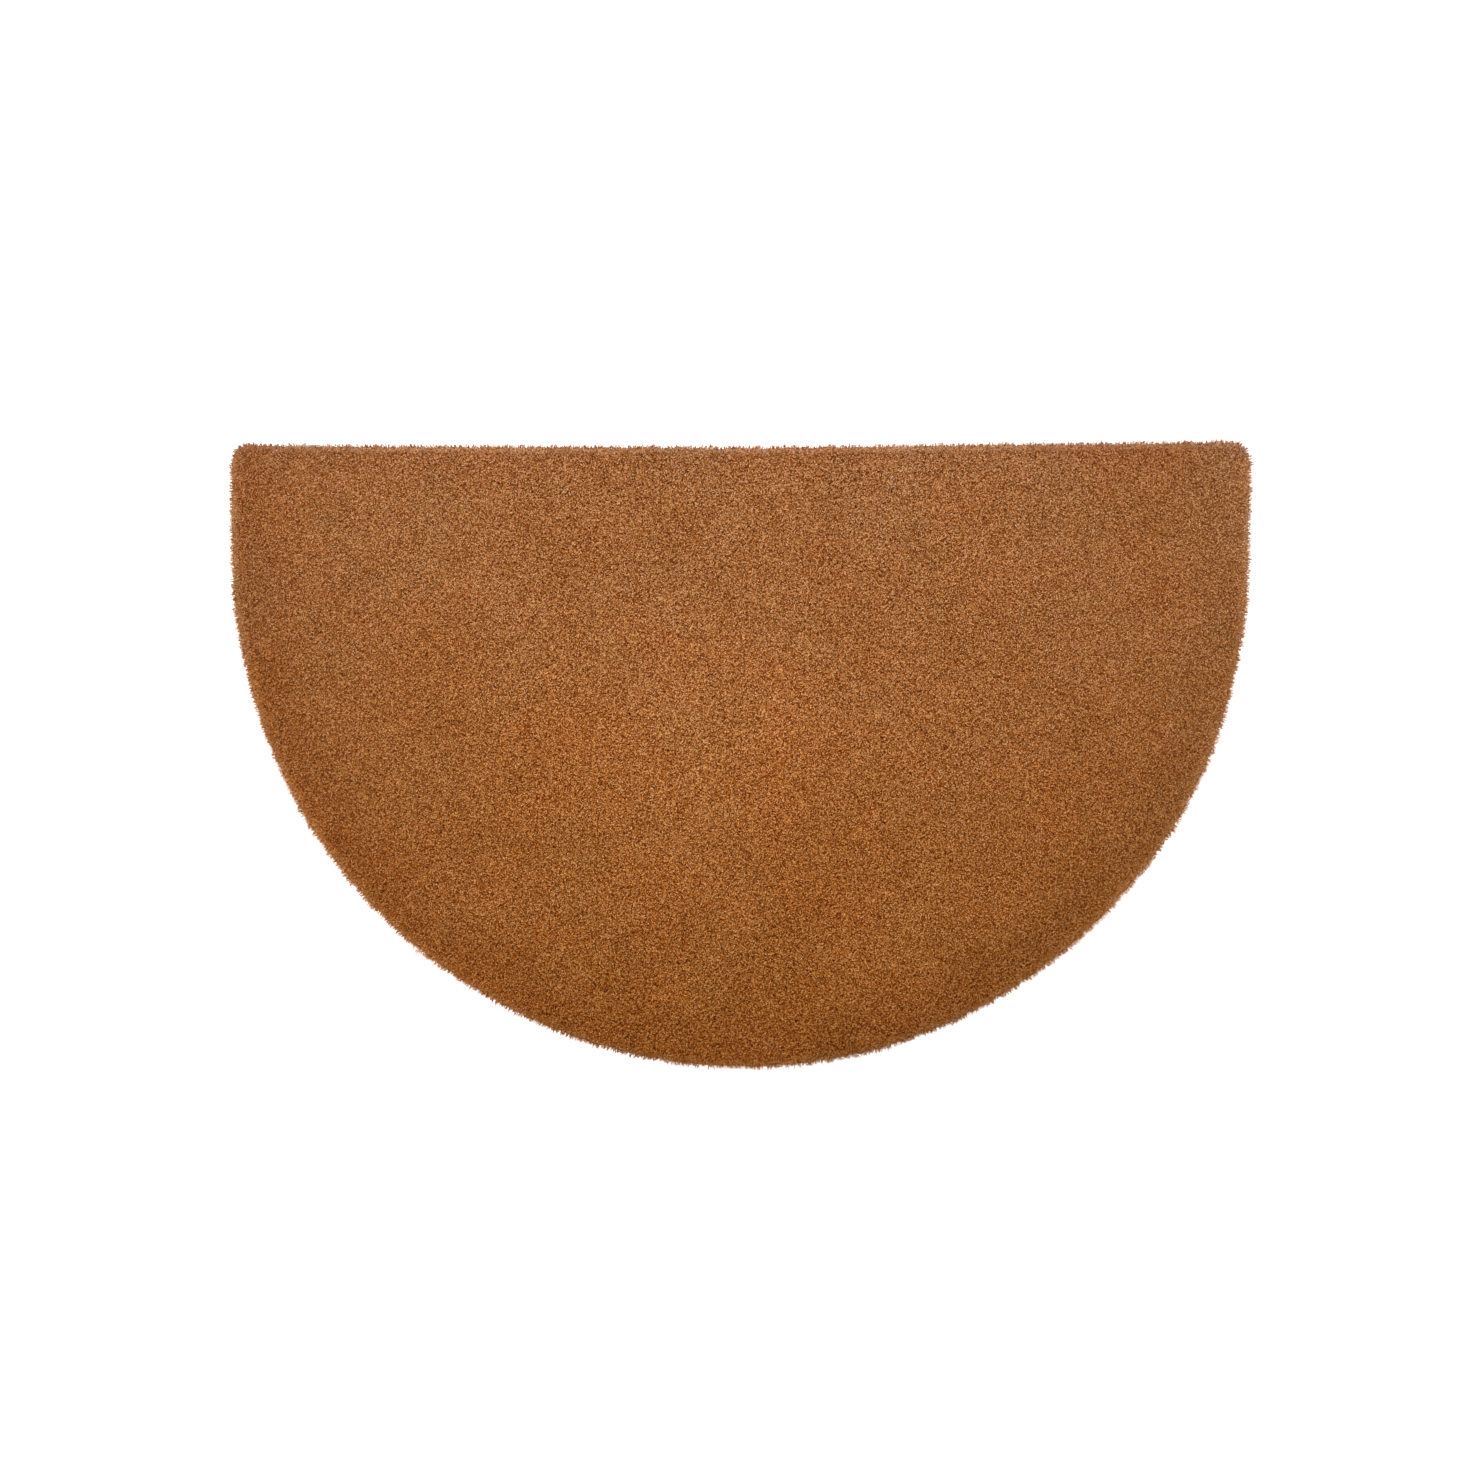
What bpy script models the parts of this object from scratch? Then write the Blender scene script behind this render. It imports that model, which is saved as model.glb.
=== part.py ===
"""Half round doormat: a plain coir pile mat, cut from the roll in one piece and lying flat, pile up.

+X runs along the straight edge, which lies against the door sill. +Y points from the rounded front to
the straight edge, and +Z is up. The origin is on the floor, under the middle of the mat.
All sizes are in metres and all angles in degrees.
"""
import math
import random

import bmesh
import bpy
from mathutils import Vector

MM = 0.001

# Driving sizes
THICKNESS = 15 * MM            # from the floor to the tips of the pile
FRONT_RADIUS = 373.2 * MM      # of the half round front
SIDE_LENGTH = 84 * MM          # of each short straight side, with its corner
LEFT_CORNER_RADIUS = 10 * MM
RIGHT_CORNER_RADIUS = 13 * MM
OUTLINE_STEP = 5 * MM          # one tuft of the cut edge
TUFT_REACH = 0.35 * MM         # how far the tufts of the edge differ from each other, as a deviation
TUFT_LIMIT = 0.8 * MM          # no tuft stands out or back by more
TUFT_SEED = 7

# The knife's path, anticlockwise as seen from above: how long each run is and how far it turns left.
EDGE_RUNS = (
    # (name, length, turn)
    ("left side", SIDE_LENGTH - LEFT_CORNER_RADIUS, 0),
    ("front", math.pi * FRONT_RADIUS, 180),
    ("right side", SIDE_LENGTH - RIGHT_CORNER_RADIUS, 0),
    ("right corner", math.pi / 2 * RIGHT_CORNER_RADIUS, 90),
    ("straight edge", 2 * FRONT_RADIUS - LEFT_CORNER_RADIUS - RIGHT_CORNER_RADIUS, 0),
    ("left corner", math.pi / 2 * LEFT_CORNER_RADIUS, 90),
)

# The hand-guided knife wanders: how far the cut lies outside its path, by the distance along it from
# the left corner. The straight edge bows in a little at its middle, and both corners stand out.
CUT_WANDER = (
    # (millimetres along, millimetres out)
    (0, 2.5),
    (85, 2.0),
    (160, 0.3),
    (320, -0.2),
    (475, -1.2),
    (630, -0.1),
    (750, 0.7),
    (905, 0.0),
    (1060, 0.6),
    (1180, -0.9),
    (1250, -0.2),
    (1325, 1.4),
    (1395, 1.0),
    (1480, 0.2),
    (1570, -0.5),
    (1680, -1.5),
    (1790, -0.7),
    (1880, 0.2),
    (2010, 0.9),
)

# The rim from the floor up: the back is cut close, the pile at the rim splays out over it and rounds
# over to the flat top. Stiff cast-on back takes little of the tufts' unevenness, and their tips most.
RIM_SECTIONS = (
    # (height, how far inside the outline, share of the tufts' unevenness)
    (0.0 * MM, 2.5 * MM, 0.3),
    (2.2 * MM, 2.0 * MM, 0.5),
    (6.5 * MM, 0.5 * MM, 0.9),
    (10.0 * MM, 0.0 * MM, 1.0),
    (12.6 * MM, 0.9 * MM, 1.0),
    (14.3 * MM, 2.7 * MM, 0.7),
    (THICKNESS, 5.5 * MM, 0.4),
)

COIR_COLOUR = (0.332, 0.120, 0.037, 1.0)
COIR_ROUGHNESS = 0.95
SHARP_FROM = 40                # degrees between two faces, from which their edge is a sharp one


def walked(along):
    """The point on the knife's path at this distance, and the direction straight out of the mat."""
    heading = -90.0
    point = Vector((-FRONT_RADIUS, SIDE_LENGTH - LEFT_CORNER_RADIUS))
    for _, length, turn in EDGE_RUNS:
        step = min(along, length)
        turned = turn * step / length
        middle = math.radians(heading + turned / 2)
        half = math.radians(turned / 2)
        chord = step * math.sin(half) / half if turned else step
        point += chord * Vector((math.cos(middle), math.sin(middle)))
        heading += turned
        along -= step
        if along <= 0:
            break
    outward = math.radians(heading - 90)
    return point, Vector((math.cos(outward), math.sin(outward)))


def wander(along, whole):
    """How far the cut lies outside the knife's path, eased from row to row of the table."""
    rows = [(at * MM, out * MM) for at, out in CUT_WANDER]
    rows.append((whole, rows[0][1]))
    for (start, before), (end, after) in zip(rows, rows[1:]):
        if along <= end:
            share = (along - start) / (end - start)
            eased = share * share * (3 - 2 * share)
            return before + (after - before) * eased
    return rows[0][1]


def cut_outline():
    """One entry for each tuft of the edge: its point, the direction out of the mat, its own reach."""
    whole = sum(length for _, length, _ in EDGE_RUNS)
    count = round(whole / OUTLINE_STEP)
    draw = random.Random(TUFT_SEED)
    tufts = []
    for i in range(count):
        along = whole * i / count
        point, outward = walked(along)
        reach = max(-TUFT_LIMIT, min(TUFT_LIMIT, draw.gauss(0, TUFT_REACH)))
        tufts.append((point + outward * wander(along, whole), outward, reach))
    return tufts


def section_point(tuft, section):
    """Where the rim passes at one tuft and one height."""
    point, outward, reach = tuft
    height, inset, share = section
    return (point + outward * (reach * share - inset)).to_3d() + Vector((0, 0, height))


def pile_slab(tufts):
    """The mat as one closed body: its underside, drawn up through the rim's sections to the top."""
    bm = bmesh.new()
    place = bm.verts.layers.int.new("tuft")
    for i, tuft in enumerate(tufts):
        bm.verts.new(section_point(tuft, RIM_SECTIONS[0]))[place] = i
    bm.verts.ensure_lookup_table()
    underside = top = bm.faces.new(bm.verts)
    for section in RIM_SECTIONS[1:]:
        drawn = bmesh.ops.extrude_face_region(bm, geom=[top])["geom"]
        if top is not underside:
            bmesh.ops.delete(bm, geom=[top], context="FACES_ONLY")
        top = next(item for item in drawn if isinstance(item, bmesh.types.BMFace))
        for vert in top.verts:
            vert.co = section_point(tufts[vert[place]], section)
    bmesh.ops.recalc_face_normals(bm, faces=bm.faces)
    return bm


def centre_on_floor(bm):
    """Puts the origin on the floor, under the middle of the mat."""
    xs = [vert.co.x for vert in bm.verts]
    ys = [vert.co.y for vert in bm.verts]
    middle = Vector(((min(xs) + max(xs)) / 2, (min(ys) + max(ys)) / 2, 0))
    bmesh.ops.translate(bm, verts=bm.verts, vec=-middle)


def coir():
    """Undyed brown coconut fibre: dry, rough and without gloss."""
    material = bpy.data.materials.new("coir")
    material.use_nodes = True
    shader = material.node_tree.nodes["Principled BSDF"]
    shader.inputs["Base Color"].default_value = COIR_COLOUR
    shader.inputs["Roughness"].default_value = COIR_ROUGHNESS
    shader.inputs["Metallic"].default_value = 0.0
    return material


def main():
    for old in list(bpy.data.objects):
        bpy.data.objects.remove(old)

    doormat = bpy.data.collections.new("half_round_doormat")
    bpy.context.scene.collection.children.link(doormat)

    bm = pile_slab(cut_outline())
    centre_on_floor(bm)
    mesh = bpy.data.meshes.new("coir_mat")
    bm.to_mesh(mesh)
    bm.free()
    mesh.materials.append(coir())
    mesh.shade_smooth()
    mesh.set_sharp_from_angle(angle=math.radians(SHARP_FROM))
    doormat.objects.link(bpy.data.objects.new("coir_mat", mesh))


main()
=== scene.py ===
import math

import bmesh
import bpy
import numpy as np
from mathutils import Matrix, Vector, geometry, kdtree, noise


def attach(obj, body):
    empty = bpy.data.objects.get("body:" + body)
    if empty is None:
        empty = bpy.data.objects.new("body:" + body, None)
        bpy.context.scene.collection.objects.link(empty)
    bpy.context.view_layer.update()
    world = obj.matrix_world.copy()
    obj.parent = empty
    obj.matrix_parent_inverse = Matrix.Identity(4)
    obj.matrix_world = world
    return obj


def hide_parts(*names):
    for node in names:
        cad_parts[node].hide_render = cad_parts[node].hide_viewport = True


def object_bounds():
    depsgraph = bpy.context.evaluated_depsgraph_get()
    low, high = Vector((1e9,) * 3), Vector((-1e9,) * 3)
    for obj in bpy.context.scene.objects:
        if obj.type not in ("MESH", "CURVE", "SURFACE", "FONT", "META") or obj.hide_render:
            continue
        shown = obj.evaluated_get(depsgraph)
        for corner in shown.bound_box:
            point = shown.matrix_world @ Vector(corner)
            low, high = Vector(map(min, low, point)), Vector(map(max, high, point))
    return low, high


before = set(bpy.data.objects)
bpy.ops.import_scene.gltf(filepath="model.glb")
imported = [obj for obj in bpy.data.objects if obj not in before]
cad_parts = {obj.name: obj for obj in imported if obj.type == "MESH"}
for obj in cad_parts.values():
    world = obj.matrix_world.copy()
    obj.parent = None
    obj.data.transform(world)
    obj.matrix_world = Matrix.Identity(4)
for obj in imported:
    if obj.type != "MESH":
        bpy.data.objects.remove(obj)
solid_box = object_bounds()

# The coir ground: the body of the mat, where the fibres stand so close that they are one crumbly mass.
# It is undyed coconut fibre, cast upright into its own thin back, and was cut with that back from the
# roll. The matting is one piece, so this stands for the whole solid, and the loose fibre ends sit on it.
MM = 0.001
LOOSE_ENDS = 3.0 * MM          # how far the loose fibre ends stand above the ground's top
LOOSE_RIM = 0.4 * MM           # and how far they stand out from its sides
RIM_RAGGED = 0.35 * MM         # how much that differs, in or out, from one lock of fibre to the next
LOCK = 7 * MM                  # from one such lock to the next
RIM_DROP = 1.9 * MM            # how far the rim rounds down until the painted light on its fibres is full, lifting the shade on its outward sides
RIM_LIGHT_AT_TOP = 0.15                 # how much of that painted light, from 0 to 1, they have already where the rim meets the top
RIM_WIDEST = 8.0 * MM          # the height where it reaches out furthest; below, the painted light on them fades again
BACK_HEIGHT = 1.5 * MM         # of the thin cast back, which bears no loose ends
FREE_HEIGHT = 4.0 * MM         # above this height the sides are drawn in all the way
CRUMB = 2.4 * MM               # from tuft to tuft on the top
CRUMB_SHIFT = 0.36             # how far a tuft may stand off its place, as a share of that
CRUMB_RISE = 0.36 * MM         # how much the tufts' heights differ, up or down
CRUMB_SEED = 11
TUFTED = 0.993                 # the tufts keep inside the rim's outline at this scale
SWELL = 0.35 * MM              # the pile's slow rise and fall
SWELL_LENGTH = 55 * MM
JOIN = 0.01 * MM               # corners closer than this are one
SILL_CORNER = 12 * MM          # how far each rounded corner reaches down from the straight edge
FACES_UP = 0.3                 # a face belongs to the top if its normal reaches higher than this
FACES_DOWN = -0.7              # and to the underside if its normal reaches lower than this
SHINE = 0.08                   # dry coir hardly shines, and nor does the floor

# Where the ground lies on its map, as shares of the map's width and height
TOP_SPAN = 0.78                # metres of the top across the whole map
TOP_PLACE = (0.5, 0.69)        # of the top's middle
BACK_SPAN = 1.3                # metres of the underside across it
BACK_PLACE = (0.30, 0.19)
RIM_STRIPS = 4                 # the rim lies there in strips, one above the other
STRIP_PLACE = (0.61, 0.02)
STRIP_LENGTH = 0.38
STRIP_PITCH = 0.09
STRIP_RISE = 5                 # map heights for each metre of the rim's height

# Coir from its ripest, darkest fibre to its youngest, palest one
COIR_TONES = (
    (0.00, (0.110, 0.016, 0.000, 1)),
    (0.25, (0.230, 0.062, 0.005, 1)),
    (0.50, (0.370, 0.142, 0.036, 1)),
    (0.75, (0.535, 0.260, 0.107, 1)),
    (1.00, (0.690, 0.410, 0.215, 1)),
)


class Wire:
    """A value on its way through a node tree: sums and products on it add their own Math nodes."""

    def __init__(self, tree, socket=None):
        self.tree = tree
        self.socket = socket

    def add(self, kind, values=None, out=0, stops=None, **settings):
        """Adds one node. stops are a ramp's, and values are numbers or wires by a socket's name or place."""
        node = self.tree.nodes.new(kind)
        for name, setting in settings.items():
            setattr(node, name, setting)
        if stops:
            ramp = node.color_ramp.elements
            while len(ramp) < len(stops):
                ramp.new(1.0)
            for stop, (place, colour) in zip(ramp, stops):
                stop.position = place
                stop.color = colour
        for name, value in (values or {}).items():
            if isinstance(value, Wire):
                self.tree.links.new(value.socket, node.inputs[name])
            else:
                node.inputs[name].default_value = value
        return Wire(self.tree, node.outputs[out])

    def maths(self, operation, first, second=0.0):
        return self.add("ShaderNodeMath", {0: first, 1: second}, operation=operation)

    def vector(self, operation, first, second=(0, 0, 0)):
        return self.add("ShaderNodeVectorMath", {0: first, 1: second}, operation=operation)

    def mix(self, factor, first, second, blend="MIX"):
        """Two colours, mixed by a factor."""
        settings = {"data_type": "RGBA", "blend_type": blend}
        return self.add("ShaderNodeMix", {0: factor, 6: first, 7: second}, out=2, **settings)

    def __add__(self, other):
        return self.maths("ADD", self, other)

    def __radd__(self, other):
        return self.maths("ADD", other, self)

    def __sub__(self, other):
        return self.maths("SUBTRACT", self, other)

    def __rsub__(self, other):
        return self.maths("SUBTRACT", other, self)

    def __mul__(self, other):
        return self.maths("MULTIPLY", self, other)

    def __rmul__(self, other):
        return self.maths("MULTIPLY", other, self)

    def clamped(self):
        return self.add("ShaderNodeClamp", {"Value": self})


def new_finish(name, roughness):
    """A material, the start of its wires, and its shader."""
    material = bpy.data.materials.new(name)
    material.use_nodes = True
    shader = material.node_tree.nodes["Principled BSDF"]
    shader.inputs["Roughness"].default_value = roughness
    shader.inputs["Specular IOR Level"].default_value = SHINE
    return material, Wire(material.node_tree), shader


def speckle(wires, size, detail=2.0, shift=0.0):
    """Noise of this size in metres over the mat, from 0 to 1 and mostly near a half."""
    place = wires.add("ShaderNodeTexCoord", out="Object")
    moved = wires.vector("ADD", place, (shift, shift, shift))
    values = {"Vector": moved, "Scale": 1 / size, "Detail": detail}
    return wires.add("ShaderNodeTexNoise", values, out="Fac")


def between(first, last, share):
    """The value at this share of the way from the first to the last."""
    return first + (last - first) * share


def stretched(value, low, high):
    """The value's stretch from low to high, spread over 0 to 1."""
    return ((value - low) * (1 / (high - low))).clamped()


def eased(share):
    """The share, with a soft start and a soft end."""
    return share * share * (3.0 - 2.0 * share)


def coir_colour(wires, tone):
    """The colour of coir of this tone, from 0, ripe and dark, to 1, young and pale."""
    return wires.add("ShaderNodeValToRGB", {"Fac": tone}, stops=COIR_TONES)


def tinted(colour, share, first, second):
    """The colour, multiplied by a tint that goes from the first to the second as the share grows."""
    tint = colour.mix(share, (*first, 1), (*second, 1))
    return colour.mix(1.0, colour, tint, "MULTIPLY")


RIM_SHADE_BAND = 60 * MM             # how wide the band of painted shade along the sides and the front is
EDGE_LIGHT = (11 * MM, 2 * MM)   # how far in from the cut the painted light near the edge starts to lift the rim's painted shade, and where it is full
CUT_ENDS = (2.2 * MM, 0.6 * MM)   # and how far in the fibres at the very cut start to differ, and end
SILL_SHEEN_BAND = 50 * MM            # how wide the greyer band of painted sheen along the straight edge is
FRONT_EDGE = 0.10              # metres ahead of the mat's middle, from where the front's edge gets more painted shade
RIGHT_HALF = (-60 * MM, 180 * MM)   # from left to right, where the right half's tints set in, and end
EVEN_SIDES = (0.12, 0.38)      # metres from the middle line, between which the fibres grow more alike
EVEN_COIR = (0.26, 0.092, 0.028, 1)   # the colour to which they do
EVEN_SHARE = 0.18              # and how far they go
WARM_LIT_MIDDLE = (-40 * MM, 0.0)  # the middle of the warm patch in the mat's middle, warmer in colour and brighter by a painted pool of light
WARM_LIT_REACH = (190 * MM, 110 * MM)
WARM_LIT_LEFT = 0.37               # how much of its warmth and painted light is left at that reach

# Tints are shares of red, green and blue
UNTINTED = (1, 1, 1)
FRONT_SHADE_TINTS = ((0.89, 0.72, 0.04), (0.96, 0.84, 0.63))   # the front's painted shade, on ripe and on young fibres
WARM_LIT_TINTS = ((0.97, 0.97, 0.97), (1.11, 1.08, 1.02))   # outside the warm, lit patch, and in its middle, brighter there by painted light
PATCHES = (
    # (size, shift of the noise, the tint where it is low, the tint where it is high)
    (110 * MM, 3.1, (0.97, 0.95, 0.89), (1.03, 1.05, 1.11)),
    (50 * MM, 0.3, (0.975, 1.02, 1.06), (1.025, 0.98, 0.94)),
    (34 * MM, 1.7, (0.96, 0.95, 0.92), (1.04, 1.05, 1.08)),
)
NOISE_SPAN = (0.30, 0.70)      # between which nearly all values of such noise lie


def weathered_and_lit(wires, colour, tone):
    """Coir is never quite one colour, and painted light and shade are laid over its colours here. It is
    paler and bluer by the straight edge and darker and richer towards the front, mostly in its ripe fibres:
    a painted sheen from the lamp behind the straight edge and painted shade away from it. It is warm in the
    middle and brighter there by a painted pool of light, darker along the rim by painted shade where the
    pile rounds away from the light, but paler again near the cut by painted light, with patches a hand
    across all over. Towards the sides its fibres are more alike."""
    place = wires.add("ShaderNodeTexCoord", out="Object")
    x = wires.add("ShaderNodeSeparateXYZ", {0: place}, out="X")
    y = wires.add("ShaderNodeSeparateXYZ", {0: place}, out="Y")
    inland = wires.add("ShaderNodeAttribute", out="Fac", attribute_name="inland")
    sill = solid_box[1].y

    # how far each place belongs to a part of the mat, from 0 to 1
    near_rim = eased(stretched(inland, RIM_SHADE_BAND, 0.0))
    at_edge = eased(stretched(inland, *EDGE_LIGHT))
    at_cut = eased(stretched(inland, *CUT_ENDS))
    at_sill = eased(stretched(y, sill - SILL_SHEEN_BAND, sill))
    at_front = eased(stretched(0.0 - y, FRONT_EDGE, sill))
    forward = stretched(0.0 - y, -sill, sill)
    backward = 1.0 - forward
    to_right = eased(stretched(x, *RIGHT_HALF))
    to_left = 1.0 - to_right
    sideward = eased(stretched(wires.maths("ABSOLUTE", x), *EVEN_SIDES))
    across = (x - WARM_LIT_MIDDLE[0]) * (1 / WARM_LIT_REACH[0])
    along = (y - WARM_LIT_MIDDLE[1]) * (1 / WARM_LIT_REACH[1])
    in_middle = wires.maths("POWER", WARM_LIT_LEFT, across * across + along * along)

    colour = wires.mix(EVEN_SHARE * sideward, colour, EVEN_COIR)
    # darker and richer towards the front: painted shade and loss of sheen away from the lamp, mostly on ripe
    # fibres
    colour = wires.mix(forward, colour, tinted(colour, tone, *FRONT_SHADE_TINTS))
    tints = (
        # (where, the tint there)
        # painted shade along the sides and the front, where the pile rounds away from the light, tinted
        # differently on each side
        (near_rim, (0.91, 0.86, 0.83)),
        (near_rim * backward * to_right, (1.08, 1.23, 1.41)),
        (near_rim * backward * to_left, (0.93, 0.92, 0.91)),
        (near_rim * forward * to_right, (0.87, 0.90, 0.98)),
        (near_rim * at_front, (0.95, 0.94, 0.93)),
        # painted light near the cut, which lifts the rim's painted shade again
        (at_edge * (1.0 - at_front), (1.26, 1.26, 1.21)),
        (at_edge * backward * to_left, (1.07, 1.14, 1.20)),
        (at_cut * backward * to_left, (1.04, 1.10, 1.07)),
        (at_cut * at_front, (0.93, 0.90, 0.82)),
        # painted sheen along the straight edge
        (at_sill, (0.98, 0.98, 1.05)),
    )
    for where, tint in tints:
        colour = tinted(colour, where, UNTINTED, tint)
    # warmer in colour in the middle, and brighter there by a painted pool of light
    colour = tinted(colour, in_middle, *WARM_LIT_TINTS)
    for size, shift, low_tint, high_tint in PATCHES:
        patch = stretched(speckle(wires, size, shift=shift), *NOISE_SPAN)
        colour = tinted(colour, patch, low_tint, high_tint)
    return colour


def drawn_in(solid):
    """The solid's own shape as one skin, without its flat top, and drawn in by the loose fibre ends."""
    shape = bmesh.new()
    shape.from_mesh(solid.data)
    on_rim = shape.verts.layers.float.new("on_rim")
    painted_rim_light = shape.verts.layers.float.new("painted_rim_light")
    shape.verts.layers.float.new("inland")
    bmesh.ops.remove_doubles(shape, verts=shape.verts, dist=JOIN)
    shape.normal_update()
    top = max(vert.co.z for vert in shape.verts)
    rim = [vert for vert in shape.verts if vert.co.z > top - JOIN]
    on_top = set(rim)
    flat_top = [face for face in shape.faces if on_top.issuperset(face.verts)]
    outward = {vert: vert.normal.xy.normalized() for vert in shape.verts}
    bmesh.ops.delete(shape, geom=flat_top, context="FACES_ONLY")
    bmesh.ops.delete(shape, geom=[e for e in shape.edges if not e.link_faces], context="EDGES")
    for vert in shape.verts:
        vert[on_rim] = 1.0
        share = min(1.0, vert.co.z / FREE_HEIGHT)
        ragged = RIM_RAGGED * noise.noise(vert.co / LOCK)
        vert.co.xy -= outward[vert] * (LOOSE_RIM + ragged) * share
        vert.co.z *= (top - LOOSE_ENDS) / top
        # painted light on the rim: none on the top, growing as the rim rounds down, and fading again below
        # its widest
        drop = max(0.0, top - LOOSE_ENDS - vert.co.z)
        low = min(1.0, vert.co.z / RIM_WIDEST)
        vert[painted_rim_light] = min(1.0, between(RIM_LIGHT_AT_TOP, 1.0, math.sqrt(drop / RIM_DROP))) * low
    rim.sort(key=lambda vert: math.atan2(vert.co.y, vert.co.x))
    return shape, rim


def tuft_places(rim):
    """Where the tufts of the top stand: in staggered rows, each a little off its place, inside the rim."""
    draw = np.random.default_rng(CRUMB_SEED)
    corners = np.array([vert.co.xy[:] for vert in rim]) * TUFTED
    low, high = corners.min(0), corners.max(0)
    row_gap = CRUMB * math.sqrt(3) / 2
    rows = np.arange(low[1], high[1], row_gap)
    columns = np.arange(low[0], high[0], CRUMB)
    x, y = np.meshgrid(columns, rows)
    x = x + (np.arange(len(rows)) % 2)[:, None] * CRUMB / 2
    spots = np.stack([x.ravel(), y.ravel()], 1)
    spots += draw.uniform(-CRUMB_SHIFT, CRUMB_SHIFT, spots.shape) * CRUMB
    inside = np.zeros(len(spots), bool)
    for (x0, y0), (x1, y1) in zip(corners, np.roll(corners, -1, 0)):
        if y0 == y1:
            continue
        crosses = (y0 > spots[:, 1]) != (y1 > spots[:, 1])
        beyond = spots[:, 0] < (x1 - x0) * (spots[:, 1] - y0) / (y1 - y0) + x0
        inside ^= crosses & beyond
    spots = spots[inside]
    return spots, draw.uniform(-CRUMB_RISE, CRUMB_RISE, len(spots))


def crumbly_top(shape, rim):
    """Closes the skin with a top whose corners are the tufts, some higher and some lower."""
    spots, rises = tuft_places(rim)
    height = rim[0].co.z
    flat = [vert.co.xy for vert in rim] + [Vector(spot) for spot in spots]
    edge = list(range(len(rim)))
    places, _, faces, sources, _, _ = geometry.delaunay_2d_cdt(flat, [], [edge], 1, JOIN / 10)
    corners = []
    for place, came_from in zip(places, sources):
        which = came_from[0]
        z = height
        if which >= len(rim):
            swell = noise.noise(Vector((place.x, place.y, 0)) / SWELL_LENGTH)
            z += rises[which - len(rim)] + SWELL * swell
        corners.append(shape.verts.new((place.x, place.y, z)))
    for face in faces:
        shape.faces.new([corners[i] for i in face])
    on_rim = shape.verts.layers.float["on_rim"]
    for vert, came_from in zip(corners, sources):
        vert[on_rim] = float(came_from[0] < len(rim))
    bmesh.ops.remove_doubles(shape, verts=shape.verts, dist=JOIN)
    bmesh.ops.recalc_face_normals(shape, faces=shape.faces)


def measured(shape):
    """Keeps on each corner how far it is from the cut edge along the sides and the front."""
    inland = shape.verts.layers.float["inland"]
    widest = [vert.co for vert in shape.verts if abs(vert.co.z - RIM_WIDEST) < JOIN]
    cut = [spot.xy.to_3d() for spot in widest if spot.y < solid_box[1].y - SILL_CORNER]
    nearest = kdtree.KDTree(len(cut))
    for index, spot in enumerate(cut):
        nearest.insert(spot, index)
    nearest.balance()
    for vert in shape.verts:
        vert[inland] = nearest.find(vert.co.xy.to_3d())[2]


def laid_out(shape):
    """The map for a baked finish: the top as it lies, the underside smaller, and the rim in strips."""
    layer = shape.loops.layers.uv.new("OFBake")
    for face in shape.faces:
        middle = face.calc_center_median()
        turn = math.atan2(middle.y, middle.x) / math.tau + 0.5
        strip = int(turn * RIM_STRIPS)
        for loop in face.loops:
            spot = loop.vert.co
            if face.normal.z > FACES_UP:
                spread = spot.xy / TOP_SPAN + Vector(TOP_PLACE)
            elif face.normal.z < FACES_DOWN:
                spread = spot.xy / BACK_SPAN + Vector(BACK_PLACE)
            else:
                # a corner past the seam, where the turns start again, stays beside its face's middle
                own = math.atan2(spot.y, spot.x) / math.tau + 0.5
                own += round(turn - own)
                along = STRIP_LENGTH * (own * RIM_STRIPS - strip)
                up = STRIP_PITCH * strip + STRIP_RISE * spot.z
                spread = Vector(STRIP_PLACE) + Vector((along, up))
            loop[layer].uv = spread


FIBRE_END = 0.85 * MM          # from one cut fibre end to the next
GROUND_TONES = (0.17, 0.85)    # how much paler each of them is where the painted light on the rim is full
GROUND_LIFT = (0.30, 0.10)     # how much paler each of them is where it is all dry
STRAND_LIFT = 0.20             # and how much a strand is
RIM_LIGHT_TINT = (1.00, 1.08, 1.25)   # the tint of the painted light on the rim where it is full
PIT_CRUMB = 1.1 * MM           # the size of the clumps that make some pits wider than others
PIT_UNEVEN = 0.8               # and by how much, in shares of a fibre end
PIT = (0.35, 0.85)             # how far from the middle of a fibre end its pit starts, and ends
PIT_SHADE_LIFTED = 0.5               # how much of the pits' painted shade is gone where the painted light on the rim is full
PIT_SHADE_TINTS = ((1.02, 1.03, 1.05), (0.20, 0.07, 0.01))   # on the fibre ends, and the painted shade in the pits


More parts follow.
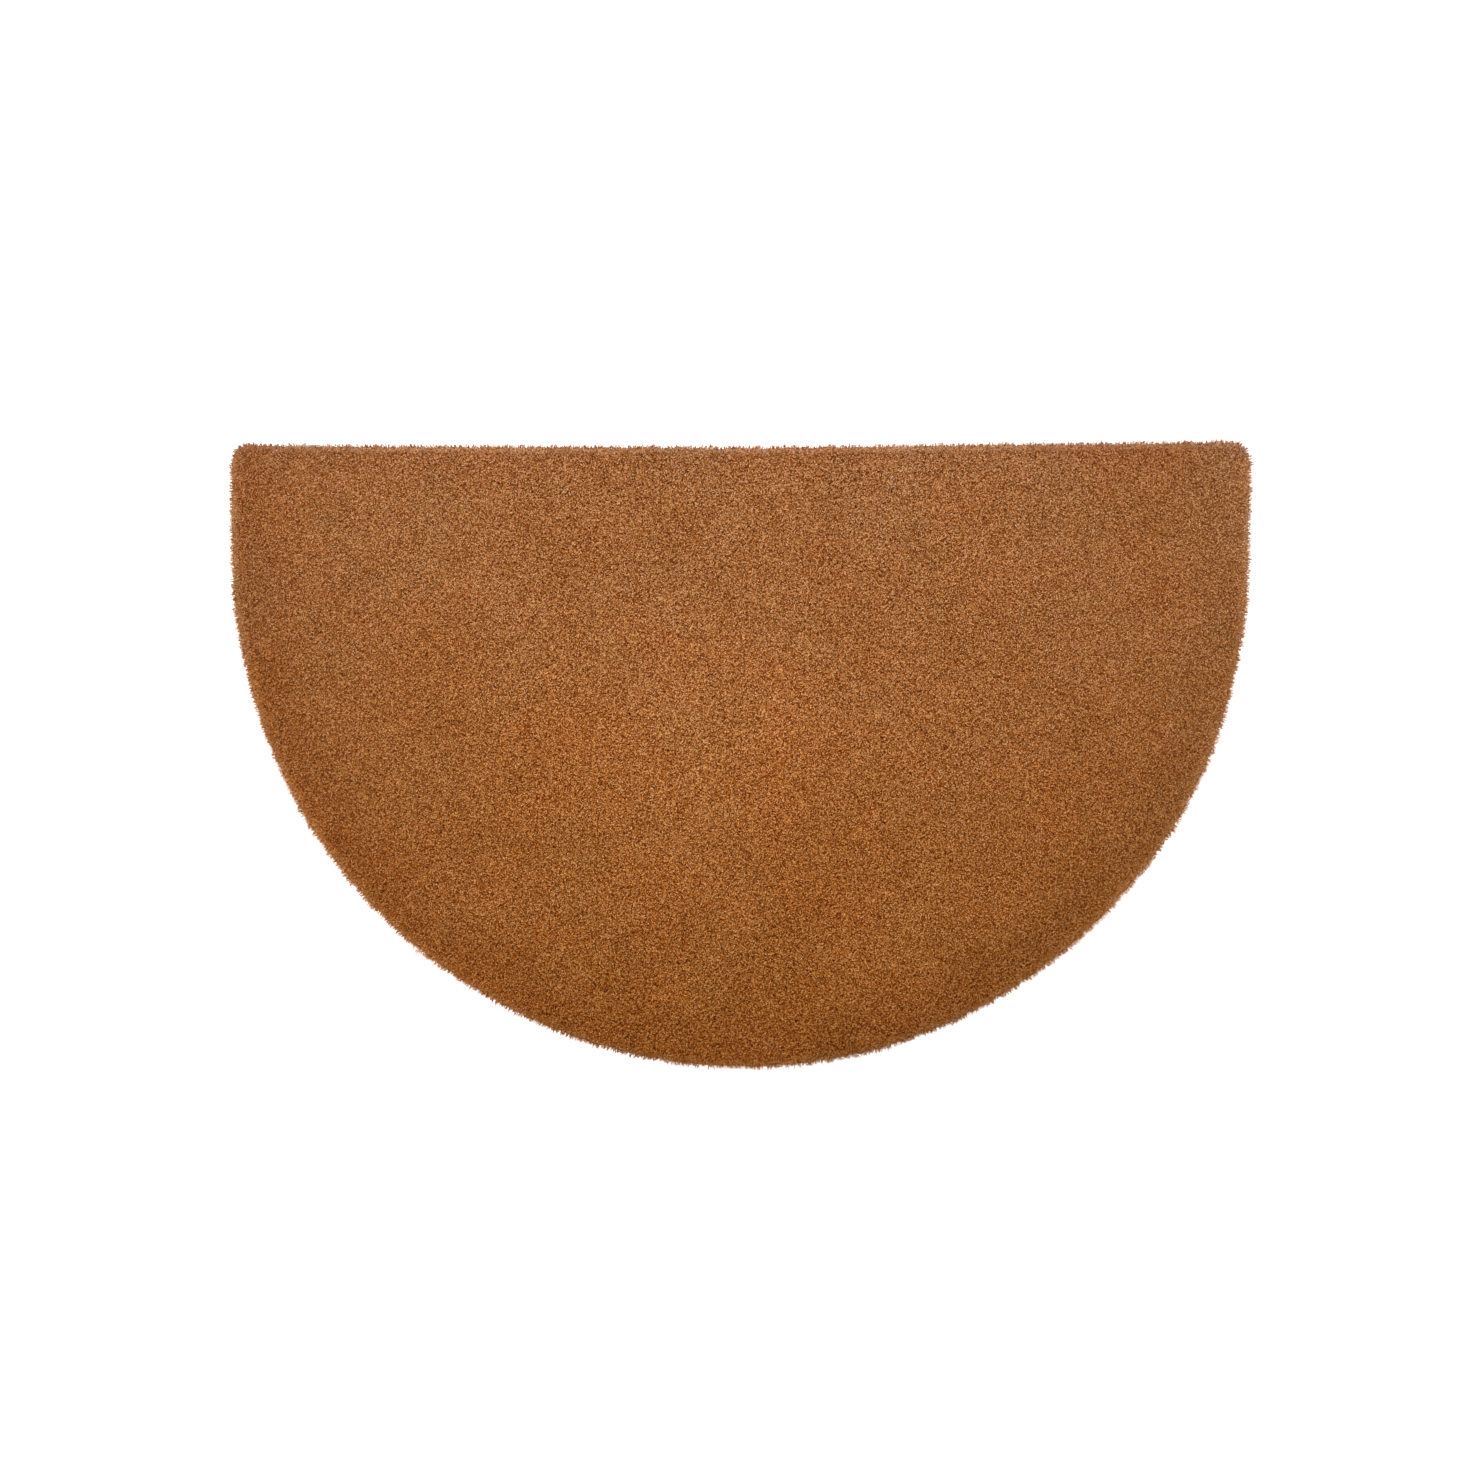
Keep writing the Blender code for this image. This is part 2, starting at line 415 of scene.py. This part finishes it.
def ground_finish():
    """Packed coir: the cut ends of fibres, each of its own tone, with painted shade in the pits between
    them. Along the rim they are seen from the side, paler and more even, with painted light on them."""
    material, wires, shader = new_finish("coir ground", roughness=0.95)
    place = wires.add("ShaderNodeTexCoord", out="Object")
    cells = {"Vector": place, "Scale": 1 / FIBRE_END}
    ends = wires.add("ShaderNodeTexVoronoi", cells, out="Distance")
    own = Wire(wires.tree, ends.socket.node.outputs["Color"])
    own = wires.add("ShaderNodeSeparateColor", {0: own}, out=0)
    painted_rim_light = wires.add("ShaderNodeAttribute", out="Fac", attribute_name="painted_rim_light")
    crumbs = speckle(wires, PIT_CRUMB, detail=1.0)
    # where the pits' painted shade falls, with less of it where the painted light on the rim is
    pit = stretched(ends + PIT_UNEVEN * (0.5 - crumbs), *PIT)
    pit = pit * (1.0 - PIT_SHADE_LIFTED * painted_rim_light)
    # paler where the painted light on the rim is
    tone = between(*GROUND_TONES, own) + painted_rim_light * between(*GROUND_LIFT, own)
    colour = coir_colour(wires, tone)
    # painted shade in the pits
    colour = tinted(colour, pit, *PIT_SHADE_TINTS)
    # painted light on the rim
    colour = tinted(colour, painted_rim_light, UNTINTED, RIM_LIGHT_TINT)
    colour = weathered_and_lit(wires, colour, tone)
    wires.tree.links.new(colour.socket, shader.inputs["Base Color"])
    bump = wires.add("ShaderNodeBump", {"Strength": 0.8, "Distance": 0.5 * MM, "Height": 1.0 - pit})
    wires.tree.links.new(bump.socket, shader.inputs["Normal"])
    return material


PEBBLE = 2.4 * MM              # the size of the cast back's pebbles
PEBBLE_COLOURS = ((0.075, 0.033, 0.015, 1), (0.160, 0.073, 0.034, 1))   # between them, and on them
SMEAR = 45 * MM                # the size of the dull smears on it
SMEAR_COLOUR = (0.74, 0.77, 0.84, 1)
SMEAR_SHARE = 0.8


def back_finish():
    """The cast back: a plain dull brown skin with a fine pebbled surface."""
    material, wires, shader = new_finish("cast back", roughness=0.8)
    pebbles = stretched(speckle(wires, PEBBLE), *NOISE_SPAN)
    smears = stretched(speckle(wires, SMEAR, detail=3.0, shift=2.0), *NOISE_SPAN)
    colour = wires.mix(pebbles, *PEBBLE_COLOURS)
    colour = wires.mix(smears * SMEAR_SHARE, colour, SMEAR_COLOUR, "MULTIPLY")
    wires.tree.links.new(colour.socket, shader.inputs["Base Color"])
    bump = wires.add("ShaderNodeBump", {"Strength": 0.5, "Distance": 0.3 * MM, "Height": pebbles})
    wires.tree.links.new(bump.socket, shader.inputs["Normal"])
    return material


skin, top_rim = drawn_in(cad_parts["coir_mat"])
crumbly_top(skin, top_rim)
measured(skin)
skin.normal_update()
laid_out(skin)
for skin_face in skin.faces:
    skin_face.smooth = skin_face.normal.z > FACES_DOWN
    skin_face.material_index = int(max(vert.co.z for vert in skin_face.verts) < BACK_HEIGHT)
ground_mesh = bpy.data.meshes.new("coir_ground")
skin.to_mesh(ground_mesh)
skin.free()
ground_mesh.materials.append(ground_finish())
ground_mesh.materials.append(back_finish())
coir_ground = bpy.data.objects.new("coir_ground", ground_mesh)
bpy.context.scene.collection.objects.link(coir_ground)
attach(coir_ground, "root")
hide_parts("coir_mat")

# The pile: the loose ends of the coconut fibres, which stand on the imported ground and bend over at
# their tips. Bristle fibre is a mix of ripe brown and younger pale strands, so the pile is made in
# four sorts, and each strand is a thin bent spindle that leans its own way.
SINK = 0.6 * MM                # how deep a strand's root is set in the ground
STRAND_SIDES = 3
STRAND_JOINTS = 2
UNEVEN = (0.7, 1.3)            # from the shortest strand to the longest, as shares of the length
HIGHEST = 15.2 * MM            # no upright strand's tip stands higher
SHOULDER = (8.0 * MM, 13.0 * MM)   # the heights between which the rim rounds over
TRIED = 4.0                    # roots tried on each square as wide as their spacing
ACROSS = (0.97, 0.26, 0)       # across a strand, a little off one of its corners
MAP_WIDTH = 0.7                # how much of its square on the map a strand takes up, across
MAP_LENGTH = 0.6               # and along


def strand_tree():
    """Sets strands over a surface, and gives each its own lean, size, tone and place on a map."""
    tree = bpy.data.node_groups.new("standing strands", "GeometryNodeTree")
    sockets = (
        ("Ground", "NodeSocketGeometry"),
        ("Spacing", "NodeSocketFloat"),
        ("Rise", "NodeSocketFloat"),
        ("Reach", "NodeSocketFloat"),
        ("Thickness", "NodeSocketFloat"),
        ("Outward", "NodeSocketFloat"),
        ("Splay", "NodeSocketFloat"),
        ("Combed", "NodeSocketFloat"),
        ("On Rim", "NodeSocketFloat"),
        ("Seed", "NodeSocketInt"),
        ("Finish", "NodeSocketMaterial"),
    )
    for name, kind in sockets:
        tree.interface.new_socket(name, in_out="INPUT", socket_type=kind)
    tree.interface.new_socket("Strands", in_out="OUTPUT", socket_type="NodeSocketGeometry")
    wires = Wire(tree)
    entry = tree.nodes.new("NodeGroupInput")
    given = {name: Wire(tree, entry.outputs[name]) for name, _ in sockets}

    def drawn(low, high, seed, data_type="FLOAT"):
        """A random number or vector for each strand."""
        first, out = {"FLOAT": (2, 1), "FLOAT_VECTOR": (0, 0)}[data_type]
        values = {first: low, first + 1: high, "Seed": given["Seed"] + seed}
        return wires.add("FunctionNodeRandomValue", values, out=out, data_type=data_type)

    def stored(shape, name, value, data_type, domain):
        """The shape with a value kept on it under this name."""
        values = {"Geometry": shape, "Name": name, "Value": value}
        kept = {"data_type": data_type, "domain": domain}
        return wires.add("GeometryNodeStoreNamedAttribute", values, **kept)

    def recalled(name, data_type):
        """The value that was kept under this name."""
        return wires.add("GeometryNodeInputNamedAttribute", {"Name": name}, data_type=data_type)

    def scaled(vector, factor):
        """The vector, this many times as long."""
        return wires.add("ShaderNodeVectorMath", {0: vector, "Scale": factor}, operation="SCALE")

    def upright(vector):
        """How high a vector reaches."""
        return wires.add("ShaderNodeSeparateXYZ", {0: vector}, out="Z")

    # roots, spread evenly over the top or over the rim, but not over the cast back
    height = upright(wires.add("GeometryNodeInputPosition"))
    loose = wires.maths("GREATER_THAN", height, BACK_HEIGHT)
    part = {0: recalled("on_rim", "FLOAT"), 1: given["On Rim"], 2: 0.5}
    in_part = wires.add("ShaderNodeMath", part, operation="COMPARE")
    scatter = {
        "Mesh": given["Ground"],
        "Selection": loose * in_part,
        "Distance Min": given["Spacing"],
        "Density Max": TRIED * wires.maths("POWER", given["Spacing"], -2.0),
        "Seed": given["Seed"],
    }
    roots = wires.add("GeometryNodeDistributePointsOnFaces", scatter, distribute_method="POISSON")
    normal = Wire(tree, roots.socket.node.outputs["Normal"])
    count = {"Geometry": roots}
    count = wires.add("GeometryNodeAttributeDomainSize", count, component="POINTCLOUD")
    columns = wires.maths("CEIL", wires.maths("SQRT", count))

    # each strand's direction: up, out of the surface, and its own random lean, and by the rim's
    # shoulder combed over it as well
    lean = scaled(drawn((-1, -1, -1), (1, 1, 1), 1, "FLOAT_VECTOR"), given["Splay"])
    out = scaled(normal, given["Outward"])
    level = wires.vector("NORMALIZE", wires.vector("MULTIPLY", normal, (1, 1, 0)))
    shoulder = stretched(height, *SHOULDER)
    over = scaled(level, given["Combed"] * shoulder * shoulder)
    direction = wires.vector("ADD", wires.vector("ADD", out, (0, 0, 1)), lean)
    direction = wires.vector("ADD", direction, over)
    spin = wires.add("ShaderNodeCombineXYZ", {"Z": drawn(0.0, math.tau, 2)})
    turned = wires.add("FunctionNodeEulerToRotation", {0: spin})
    aim = {"Rotation": turned, "Vector": direction}
    aimed = wires.add("FunctionNodeAlignRotationToVector", aim, axis="Z")
    sunk = scaled(normal, -SINK)
    roots = wires.add("GeometryNodeSetPosition", {"Geometry": roots, "Offset": sunk})

    # one strand: a line that rises and bends over, thickest at its middle and pointed at its ends
    knee = wires.add("ShaderNodeCombineXYZ", {"Z": given["Rise"]})
    tip = wires.add("ShaderNodeCombineXYZ", {"X": given["Reach"], "Z": given["Rise"]})
    line = {"Resolution": STRAND_JOINTS, "Start": (0, 0, 0), "Middle": knee, "End": tip}
    strand = wires.add("GeometryNodeCurveQuadraticBezier", line)
    along = wires.add("GeometryNodeSplineParameter", out="Factor")
    strand = stored(strand, "along", along, "FLOAT", "POINT")
    profile = {"Resolution": STRAND_SIDES, "Radius": 0.5 * given["Thickness"]}
    profile = wires.add("GeometryNodeCurvePrimitiveCircle", profile)
    off_middle = wires.vector("DOT_PRODUCT", wires.add("GeometryNodeInputPosition"), ACROSS)
    off_middle = Wire(tree, off_middle.socket.node.outputs["Value"])
    side = wires.maths("DIVIDE", off_middle, given["Thickness"])
    profile = stored(profile, "side", side, "FLOAT", "POINT")
    spindle = 4.0 * along * (1.0 - along)
    swept = {"Curve": strand, "Profile Curve": profile, "Scale": spindle}
    strand = wires.add("GeometryNodeCurveToMesh", swept)
    strand = wires.add("GeometryNodeMergeByDistance", {"Geometry": strand, "Distance": JOIN})

    # strands on their roots, as one mesh, each drawn on its own square of the map
    size = drawn(*UNEVEN, 3)
    room = HIGHEST - upright(wires.add("GeometryNodeInputPosition"))
    fits = wires.maths("MINIMUM", size, wires.maths("DIVIDE", room, given["Rise"]))
    scale = wires.add("ShaderNodeCombineXYZ", {"X": size, "Y": size, "Z": fits})
    placed = {"Points": roots, "Instance": strand, "Rotation": aimed, "Scale": scale}
    strands = wires.add("GeometryNodeInstanceOnPoints", placed)
    strands = stored(strands, "tone", drawn(0.0, 1.0, 4), "FLOAT", "INSTANCE")
    index = wires.add("GeometryNodeInputIndex")
    row = wires.maths("FLOOR", wires.maths("DIVIDE", index, columns))
    corner = wires.add("ShaderNodeCombineXYZ", {"X": index - row * columns, "Y": row, "Z": columns})
    strands = stored(strands, "square", corner, "FLOAT_VECTOR", "INSTANCE")
    strands = wires.add("GeometryNodeRealizeInstances", {"Geometry": strands})
    square = recalled("square", "FLOAT_VECTOR")
    u = 0.5 + MAP_WIDTH * recalled("side", "FLOAT")
    v = 0.5 - MAP_LENGTH / 2 + MAP_LENGTH * recalled("along", "FLOAT")
    spot = wires.vector("ADD", square, wires.add("ShaderNodeCombineXYZ", {"X": u, "Y": v}))
    spot = scaled(spot, wires.maths("DIVIDE", 1.0, upright(square)))
    strands = stored(strands, "OFBake", spot, "FLOAT2", "CORNER")
    strands = wires.add("GeometryNodeSetShadeSmooth", {"Geometry": strands})
    strands = wires.add("GeometryNodeSetMaterial", {"Geometry": strands, "Material": given["Finish"]})
    leaving = tree.nodes.new("NodeGroupOutput")
    tree.links.new(strands.socket, leaving.inputs["Strands"])
    return tree


ROOT_SHADE_TINTS = ((1.12, 1.15, 1.22), (0.38, 0.22, 0.07))   # at the tip, lighter, and at the root, where the painted shade is


def strand_finish(name, ripest, youngest, shaded=0.8):
    """Dry coconut fibre: each strand has its own tone, and is darker over this share of it at its root,
    as painted shade where the pile shades it.
    """
    material, wires, shader = new_finish(name, roughness=0.85)
    own = wires.add("ShaderNodeAttribute", out="Fac", attribute_name="tone")
    along = wires.add("ShaderNodeAttribute", out="Fac", attribute_name="along")
    painted_rim_light = wires.add("ShaderNodeAttribute", out="Fac", attribute_name="painted_rim_light")
    # paler where the painted light on the rim is
    tone = between(ripest, youngest, own) + STRAND_LIFT * painted_rim_light
    colour = coir_colour(wires, tone)
    # darker towards the root as painted shade, where the pile shades it
    root = 1.0 - stretched(along, 0.0, shaded)
    colour = tinted(colour, root, *ROOT_SHADE_TINTS)
    # painted light on the rim
    colour = tinted(colour, painted_rim_light, UNTINTED, RIM_LIGHT_TINT)
    colour = weathered_and_lit(wires, colour, tone)
    wires.tree.links.new(colour.socket, shader.inputs["Base Color"])
    return material


def grow(name, tree, ground, sizes):
    """A bed of strands on the ground, as a plain mesh of its own."""
    bed = bpy.data.objects.new(name, ground.data)
    bpy.context.scene.collection.objects.link(bed)
    growing = bed.modifiers.new("strands", "NODES")
    growing.node_group = tree
    for item in tree.interface.items_tree:
        if item.in_out == "INPUT" and item.name in sizes:
            growing[item.identifier] = sizes[item.name]
    seen = bed.evaluated_get(bpy.context.evaluated_depsgraph_get())
    grown = bpy.data.meshes.new_from_object(seen)
    bed.modifiers.remove(growing)
    bed.data = grown
    grown.name = name
    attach(bed, "root")
    return bed


PILE_SPACING = 3.26 * MM       # from one strand to the next of its sort
PILE_REACH = 1.3 * MM          # how far a strand's tip bends over
PILE_SORTS = (
    # (name, rise, thickness, splay, seed, ripest, youngest)
    ("pile_ripe", 2.9 * MM, 0.80 * MM, 0.5, 100, 0.00, 0.35),
    ("pile_brown", 3.0 * MM, 0.75 * MM, 0.6, 200, 0.25, 0.80),
    ("pile_tan", 3.1 * MM, 0.75 * MM, 0.6, 300, 0.60, 1.00),
    ("pile_young", 3.1 * MM, 0.75 * MM, 0.6, 400, 0.70, 1.00),
)
strand_nodes = strand_tree()
for sort_name, rise, thickness, splay, seed, ripest, youngest in PILE_SORTS:
    pile_sizes = {
        "Spacing": PILE_SPACING,
        "Rise": rise,
        "Reach": PILE_REACH,
        "Thickness": thickness,
        "Outward": 1.0,
        "Splay": splay,
        "Combed": 0.0,
        "On Rim": 0.0,
        "Seed": seed,
        "Finish": strand_finish(sort_name.replace("_", " "), ripest, youngest),
    }
    grow(sort_name, strand_nodes, coir_ground, pile_sizes)

# The cut rim: where the knife went through, the fibres stand side by side from the cast back to the
# top, most of them straight up and a few splayed out over the edge.
rim_sizes = {
    "Spacing": 1.1 * MM,
    "Rise": 6.0 * MM,
    "Reach": 1.1 * MM,
    "Thickness": 0.70 * MM,
    "Outward": 0.45,
    "Splay": 0.30,
    "Combed": 0.9,
    "On Rim": 1.0,
    "Seed": 500,
    "Finish": strand_finish("rim pile", 0.30, 0.85, shaded=0.35),
}
grow("rim_pile", strand_nodes, coir_ground, rim_sizes)

# The floor: a plain white light table, larger than any view of the mat, so that no shadow shows round it.
FLOOR_HALF = 4.0
FLOOR_DROP = 0.3 * MM          # below the mat's underside
FLOOR_WHITE = (0.95, 0.95, 0.95, 1)
FLOOR_GLOW = 0.6
floor_shape = bmesh.new()
bmesh.ops.create_grid(floor_shape, x_segments=1, y_segments=1, size=FLOOR_HALF)
bmesh.ops.translate(floor_shape, verts=floor_shape.verts, vec=(0, 0, -FLOOR_DROP))
floor_mesh = bpy.data.meshes.new("floor")
floor_shape.to_mesh(floor_mesh)
floor_shape.free()
floor_paint, _, floor_shader = new_finish("floor", roughness=0.9)
floor_shader.inputs["Base Color"].default_value = FLOOR_WHITE
floor_shader.inputs["Emission Color"].default_value = (1, 1, 1, 1)
floor_shader.inputs["Emission Strength"].default_value = FLOOR_GLOW
floor_mesh.materials.append(floor_paint)
floor = bpy.data.objects.new("floor", floor_mesh)
bpy.context.scene.collection.objects.link(floor)

# The light: a white room that lights the mat from all round, and one large soft lamp above and behind
# the straight edge, so that the mat is a little brighter there and shades off towards its front.
ROOM_LIGHT = 0.95
LAMP_SIZE = 1.0
LAMP_POWER = 43.5
LAMP_PLACE = Vector((-0.2, 1.3, 1.7))
LAMP_AIM = Vector((0, 0.1, 0))
world = bpy.data.worlds.new("studio")
world.use_nodes = True
world.node_tree.nodes["Background"].inputs["Strength"].default_value = ROOM_LIGHT
world.node_tree.nodes["Background"].inputs["Color"].default_value = (1, 1, 1, 1)
bpy.context.scene.world = world
bpy.context.scene.view_settings.view_transform = "Standard"
lamp_data = bpy.data.lights.new("soft lamp", "AREA")
lamp_data.shape = "SQUARE"
lamp_data.size = LAMP_SIZE
lamp_data.energy = LAMP_POWER
lamp = bpy.data.objects.new("soft lamp", lamp_data)
lamp.location = LAMP_PLACE
lamp.rotation_euler = (LAMP_AIM - LAMP_PLACE).to_track_quat("-Z", "Y").to_euler()
bpy.context.scene.collection.objects.link(lamp)

# The camera: straight above the mat, whose middle lies a little under the picture's, and turned by the
# quarter of a degree by which the mat lies askew in the picture.
PICTURE = 1480                 # pixels along each side of the picture
MAT_MIDDLE = (741.95, 755.05)    # the middle of the mat's box, in pixels from the picture's corner
MM_PER_PIXEL = 0.7349
ASKEW = 0.228                  # degrees
CAMERA_HEIGHT = 3.0
SENSOR_WIDTH = 36.0            # millimetres, as the lens is
camera_data = bpy.data.cameras.new("camera")
camera_data.sensor_width = SENSOR_WIDTH
pile_top = solid_box[1].z
view_width = PICTURE * MM_PER_PIXEL * MM
camera_data.lens = SENSOR_WIDTH * (CAMERA_HEIGHT - pile_top) / view_width
camera = bpy.data.objects.new("camera", camera_data)
aside = (PICTURE / 2 - MAT_MIDDLE[0]) * MM_PER_PIXEL * MM
ahead = (MAT_MIDDLE[1] - PICTURE / 2) * MM_PER_PIXEL * MM
camera.location = (aside, ahead, CAMERA_HEIGHT)
camera.rotation_euler = (0, 0, -math.radians(ASKEW))
bpy.context.scene.collection.objects.link(camera)
bpy.context.scene.camera = camera
